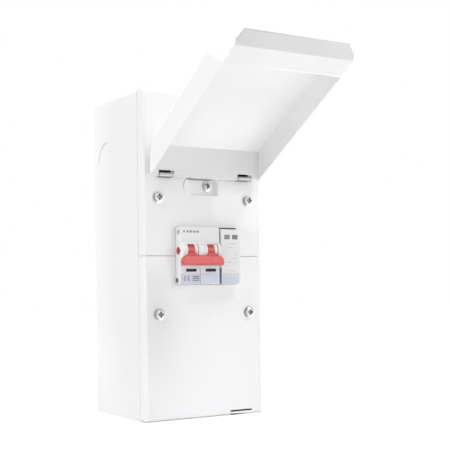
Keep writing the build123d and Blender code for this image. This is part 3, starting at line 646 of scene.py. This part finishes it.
# The cover screws and the screw in the pocket are steel pan heads with a flange and a cross recess.
# They are cold headed and zinc plated, bright on the cover and dull in the pocket.
# Dirt and painted shade darken their recesses and the ring round them. Painted shade dulls their rims at
# the left and the top, and a painted reflection of the white floor brightens their lower halves.
bright_zinc = (0.72, 0.73, 0.74)
head_rough = 0.26
rim_inner = 0.70
rim_outer = 0.84
floor_reflection_bright = 1.2
reflection_span = (0.0, -0.6)
left_rim_shade = 0.58
left_span = (0.3, -0.5)
top_rim_shade = 0.45
top_span = (0.0, 0.7)
well_inner = 0.5
well_share = 0.7
well_shade = 0.4
recess_dirt_and_shade = (0.17, 0.17, 0.17)


def cross_head(name, colour, centre, recess_reach, recess_front, head_reach, mirrored):
    """Zinc on a screw's head, with its recess behind recess_front; mirrored for one in each quarter."""
    plate = zinc_plate(name, colour, head_rough)
    across, out, up = plate.axes("XYZ")
    side = (across > 0.0) * 2.0 - 1.0 if mirrored else 1.0
    level = (up > 0.0) * 2.0 - 1.0 if mirrored else 1.0
    aside = across - side * centre[0]
    above = up - level * centre[1]
    reach = aside * aside + above * above
    reflected_half, at_left, at_top = (
        plate.fade(value, start * head_reach, end * head_reach)
        for value, (start, end) in ((above, reflection_span), (aside, left_span), (above, top_span))
    )
    rim = plate.fade(reach, (rim_inner * head_reach) ** 2, (rim_outer * head_reach) ** 2)
    well = plate.fade(reach, recess_reach**2, (well_inner * recess_reach) ** 2)
    # Painted reflection brightens the lower half, and painted shade darkens the rim and the recess's ring.
    plate.paint(reflected_half, shade(colour, floor_reflection_bright))
    plate.paint(rim * at_left, shade(colour, left_rim_shade))
    plate.paint(rim * at_top, shade(colour, top_rim_shade))
    plate.paint(well * well_share, shade(colour, well_shade))
    plate.paint((reach < recess_reach**2) * (out > recess_front), shade(recess_dirt_and_shade))
    return plate


dome_at_recess = 0.0007
flange_radius = 0.0046
cover_recess = 0.0026
low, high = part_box("cover_screws")
screw_centre = (high.x - flange_radius, high.z - flange_radius)
recess_front = low.y + dome_at_recess
cross_head(
    "cover_screw_zinc",
    bright_zinc,
    screw_centre,
    cover_recess,
    recess_front,
    flange_radius,
    mirrored=True,
).on("cover_screws")

bonding_recess = 0.0021
low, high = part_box("bonding_screw")
bonding_centre = ((low.x + high.x) / 2, (low.z + high.z) / 2)
bonding_radius = (high.x - low.x) / 2
recess_front = low.y + dome_at_recess
cross_head(
    "bonding_screw_zinc",
    dull_zinc,
    bonding_centre,
    bonding_recess,
    recess_front,
    bonding_radius,
    mirrored=False,
).on("bonding_screw")


# The hinge hooks are steel strips, zinc plated, with their feet behind the upper cover.
# Each is curled round the lid's edge. Bands of painted highlight make the curl brightest low down,
# and painted shade makes it dark again at its end.
hook_grey = (0.36, 0.365, 0.37)
hook_rough = 0.3
hook_light_bands = [
    (0.0623, 0.0620, 1.9),
    (0.0616, 0.0613, 1.5),
    (0.0611, 0.0608, 0.7),
]
hook = zinc_plate("hook_zinc", hook_grey, hook_rough)
[up] = hook.axes("Z")
for start, end, tone in hook_light_bands:
    hook.paint(hook.fade(up, start, end), shade(hook_grey, tone))
hook.on("hinge_hooks")


# The lid is a folded steel tray, coated like the box, with slanted ends, a strip and a flared grip lip.
# Tones that soft light leaves on it are painted: greyer on the hinge wall, the strip and the lip,
# paler on the panel, the left cheek and the fold before the strip. Painted shade darkens the lip's cut
# edge.
lid_tilt = radians(31.0)
panel_run = (0.085, 0.020)
panel_left = (-0.050, 0.0)
panel_right = (0.045, 0.025)
cheek_skin = 0.0003
cheek_light_tone = 1.035
wall_run = 0.561
wall_rise = 0.828
wall_sheet = 0.001
wall_tone = 0.86
wall_end_tone = 0.93
wall_end_span = (0.030, 0.045)
fold_at = 0.1250
fold_width = 0.0018
fold_span = (-0.030, 0.0)
strip_end = 0.1425
strip_tone = 0.95
strip_span = (-0.010, -0.042)
lip_run = 0.69
lip_rise = 0.73
lip_face = 0.0996
lip_tip = 0.1146
lip_tone = 0.85
lip_left_tone = 0.80
lip_left_span = (-0.015, -0.045)
lip_right_tone = 0.885
lip_right_span = (0.015, 0.045)
corner_reach = 0.19515
cut_edge = 0.0008
lip_edge_shade = 0.70
cut_span = (0.020, -0.030)
diagonal = 2**0.5
lid = powder_coat("lid_powder_coat", coat_white)
across, out, up = lid.axes("XYZ")
ahead = joint_places["lid_hinge"][1] - out
above = up - joint_places["lid_hinge"][2]
run = ahead * cos(lid_tilt) + above * sin(lid_tilt)
rise = above * cos(lid_tilt) - ahead * sin(lid_tilt)
pale_panel = lid.fade(run, *panel_run) * lid.fade(across, *panel_left) * lid.fade(across, *panel_right)
lid.paint(pale_panel, shade(painted_light_white))
lid.paint(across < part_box("flap_lid")[0].x + cheek_skin, shade(coat_white, cheek_light_tone))
hinge_wall = (run * wall_rise - rise * wall_run).within(0.0, wall_sheet)
lid.paint(hinge_wall, shade(coat_white, wall_tone))
lid.paint(hinge_wall * lid.fade(across, *wall_end_span), shade(coat_white, wall_end_tone))
strip = run.within(fold_at, strip_end) * (rise < 0.0)
lid.paint(strip * lid.fade(across, *strip_span), shade(coat_white, strip_tone))
fold = run.within(fold_at, fold_at + fold_width) * (rise < 0.0)
lid.paint(fold * lid.fade(across, *fold_span), shade(painted_bright_white))
on_lip = run * lip_run - rise * lip_rise > lip_face
lid.paint(on_lip, shade(coat_white, lip_tone))
lid.paint(on_lip * lid.fade(across, *lip_left_span), shade(coat_white, lip_left_tone))
lid.paint(on_lip * lid.fade(across, *lip_right_span), shade(coat_white, lip_right_tone))
at_tip = run * lip_rise + rise * lip_run > lip_tip - cut_edge
at_corner = run - across > corner_reach - cut_edge * diagonal
lid.paint(on_lip * (at_tip | at_corner) * lid.fade(across, *cut_span), shade(coat_white, lip_edge_shade))
lid.on("flap_lid")


# The floor is a white sweep that runs off into the white backdrop.
# It takes the unit's soft shadow, and everywhere else it reads as white.
floor_size = 6.0
floor_gap = 0.0005
floor_white = (0.95, 0.95, 0.95)
floor_rough = 0.9
pure_white = (1.0, 1.0, 1.0)
white_share = 0.85
white_level = 1.1
shadow_reach = 0.3
white_reach = 0.6
bpy.ops.object.select_all(action="DESELECT")
bpy.ops.mesh.primitive_plane_add(size=floor_size, location=(0.0, 0.0, cad_box[0].z - floor_gap))
floor = bpy.context.object
floor.name = "floor"
bpy.ops.object.transform_apply(location=True)
sweep = Finish("white_sweep", Roughness=floor_rough)
sweep.set(sweep.shader, {"Base Color": shade(floor_white)})


def seen_rays(tree):
    """1 for the rays that show the backdrop: from the camera, in reflections and through glass."""
    path = tree.nodes.new("ShaderNodeLightPath")
    camera_ray, glossy_ray, clear_ray = (
        Wire(path.outputs[kind]) for kind in ("Is Camera Ray", "Is Glossy Ray", "Is Transmission Ray")
    )
    return camera_ray | glossy_ray | clear_ray


across, out = sweep.axes("XY")
far_off = sweep.fade(across * across + out * out, shadow_reach**2, white_reach**2)
backdrop_share = seen_rays(sweep.tree) * (white_share + (1.0 - white_share) * far_off)
glow = sweep.node("ShaderNodeEmission", sockets={"Color": shade(pure_white), "Strength": white_level})
lit = sweep.node(
    "ShaderNodeMixShader",
    sockets={0: backdrop_share, 1: Wire(sweep.shader.outputs[0]), 2: glow},
)
sweep.tree.links.new(lit.socket, sweep.tree.nodes["Material Output"].inputs["Surface"])
floor.data.materials.append(sweep.material)


# The light is that of a studio: four large soft panels, all turned to the unit, and a dim white surround.
# The surround lights the object only a little, and it is plain white where it is seen.
surround_level = 0.02
backdrop_level = 1.0
world = bpy.data.worlds.new("white_surround")
bpy.context.scene.world = world
world.use_nodes = True
sky = world.node_tree
surround = sky.nodes["Background"]
backdrop = sky.nodes.new("ShaderNodeBackground")
for source, level in ((surround, surround_level), (backdrop, backdrop_level)):
    source.inputs["Color"].default_value = shade(pure_white)
    source.inputs["Strength"].default_value = level
choice = sky.nodes.new("ShaderNodeMixShader")
sky.links.new(seen_rays(sky).socket, choice.inputs[0])
sky.links.new(surround.outputs[0], choice.inputs[1])
sky.links.new(backdrop.outputs[0], choice.inputs[2])
sky.links.new(choice.outputs[0], sky.nodes["World Output"].inputs["Surface"])

aim = Vector((0.0, -0.05, 0.0))
panels = [
    ("overhead", (0.0, -0.15, 3.2), 3.2, 53.0),
    ("left_panel", (-2.6, -0.55, 2.6), 2.4, 92.0),
    ("right_panel", (1.8, -2.75, 1.2), 2.4, 39.0),
    ("key", (1.2, -1.55, 3.2), 1.0, 37.0),
]
for name, location, size, power in panels:
    bpy.ops.object.light_add(type="AREA", location=location)
    panel = bpy.context.object
    panel.name = name
    panel.data.size = size
    panel.data.energy = power
    panel.rotation_euler = (aim - panel.location).to_track_quat("-Z", "Y").to_euler()


# The camera stands to the left of the unit, a little below its middle, and looks along the horizontal.
# The frame is cropped from a taller picture, which its upward shift gives.
camera_place = Vector((-0.39295, -0.760, -0.02235))
camera_yaw = radians(31.61)
camera_pitch = radians(-0.37)
camera_roll = radians(0.68)
level_view = radians(90.0)
sensor_width = 36.0
focal_length = 78.0
upward_shift = 0.145
bpy.ops.object.camera_add(location=camera_place)
camera = bpy.context.object
camera.matrix_world = (
    Matrix.Translation(camera_place)
    @ Matrix.Rotation(-camera_yaw, 4, "Z")
    @ Matrix.Rotation(level_view + camera_pitch, 4, "X")
    @ Matrix.Rotation(-camera_roll, 4, "Z")
)
camera.data.sensor_width = sensor_width
camera.data.lens = focal_length
camera.data.shift_y = upward_shift
bpy.context.scene.camera = camera
bpy.context.scene.view_settings.view_transform = "Standard"
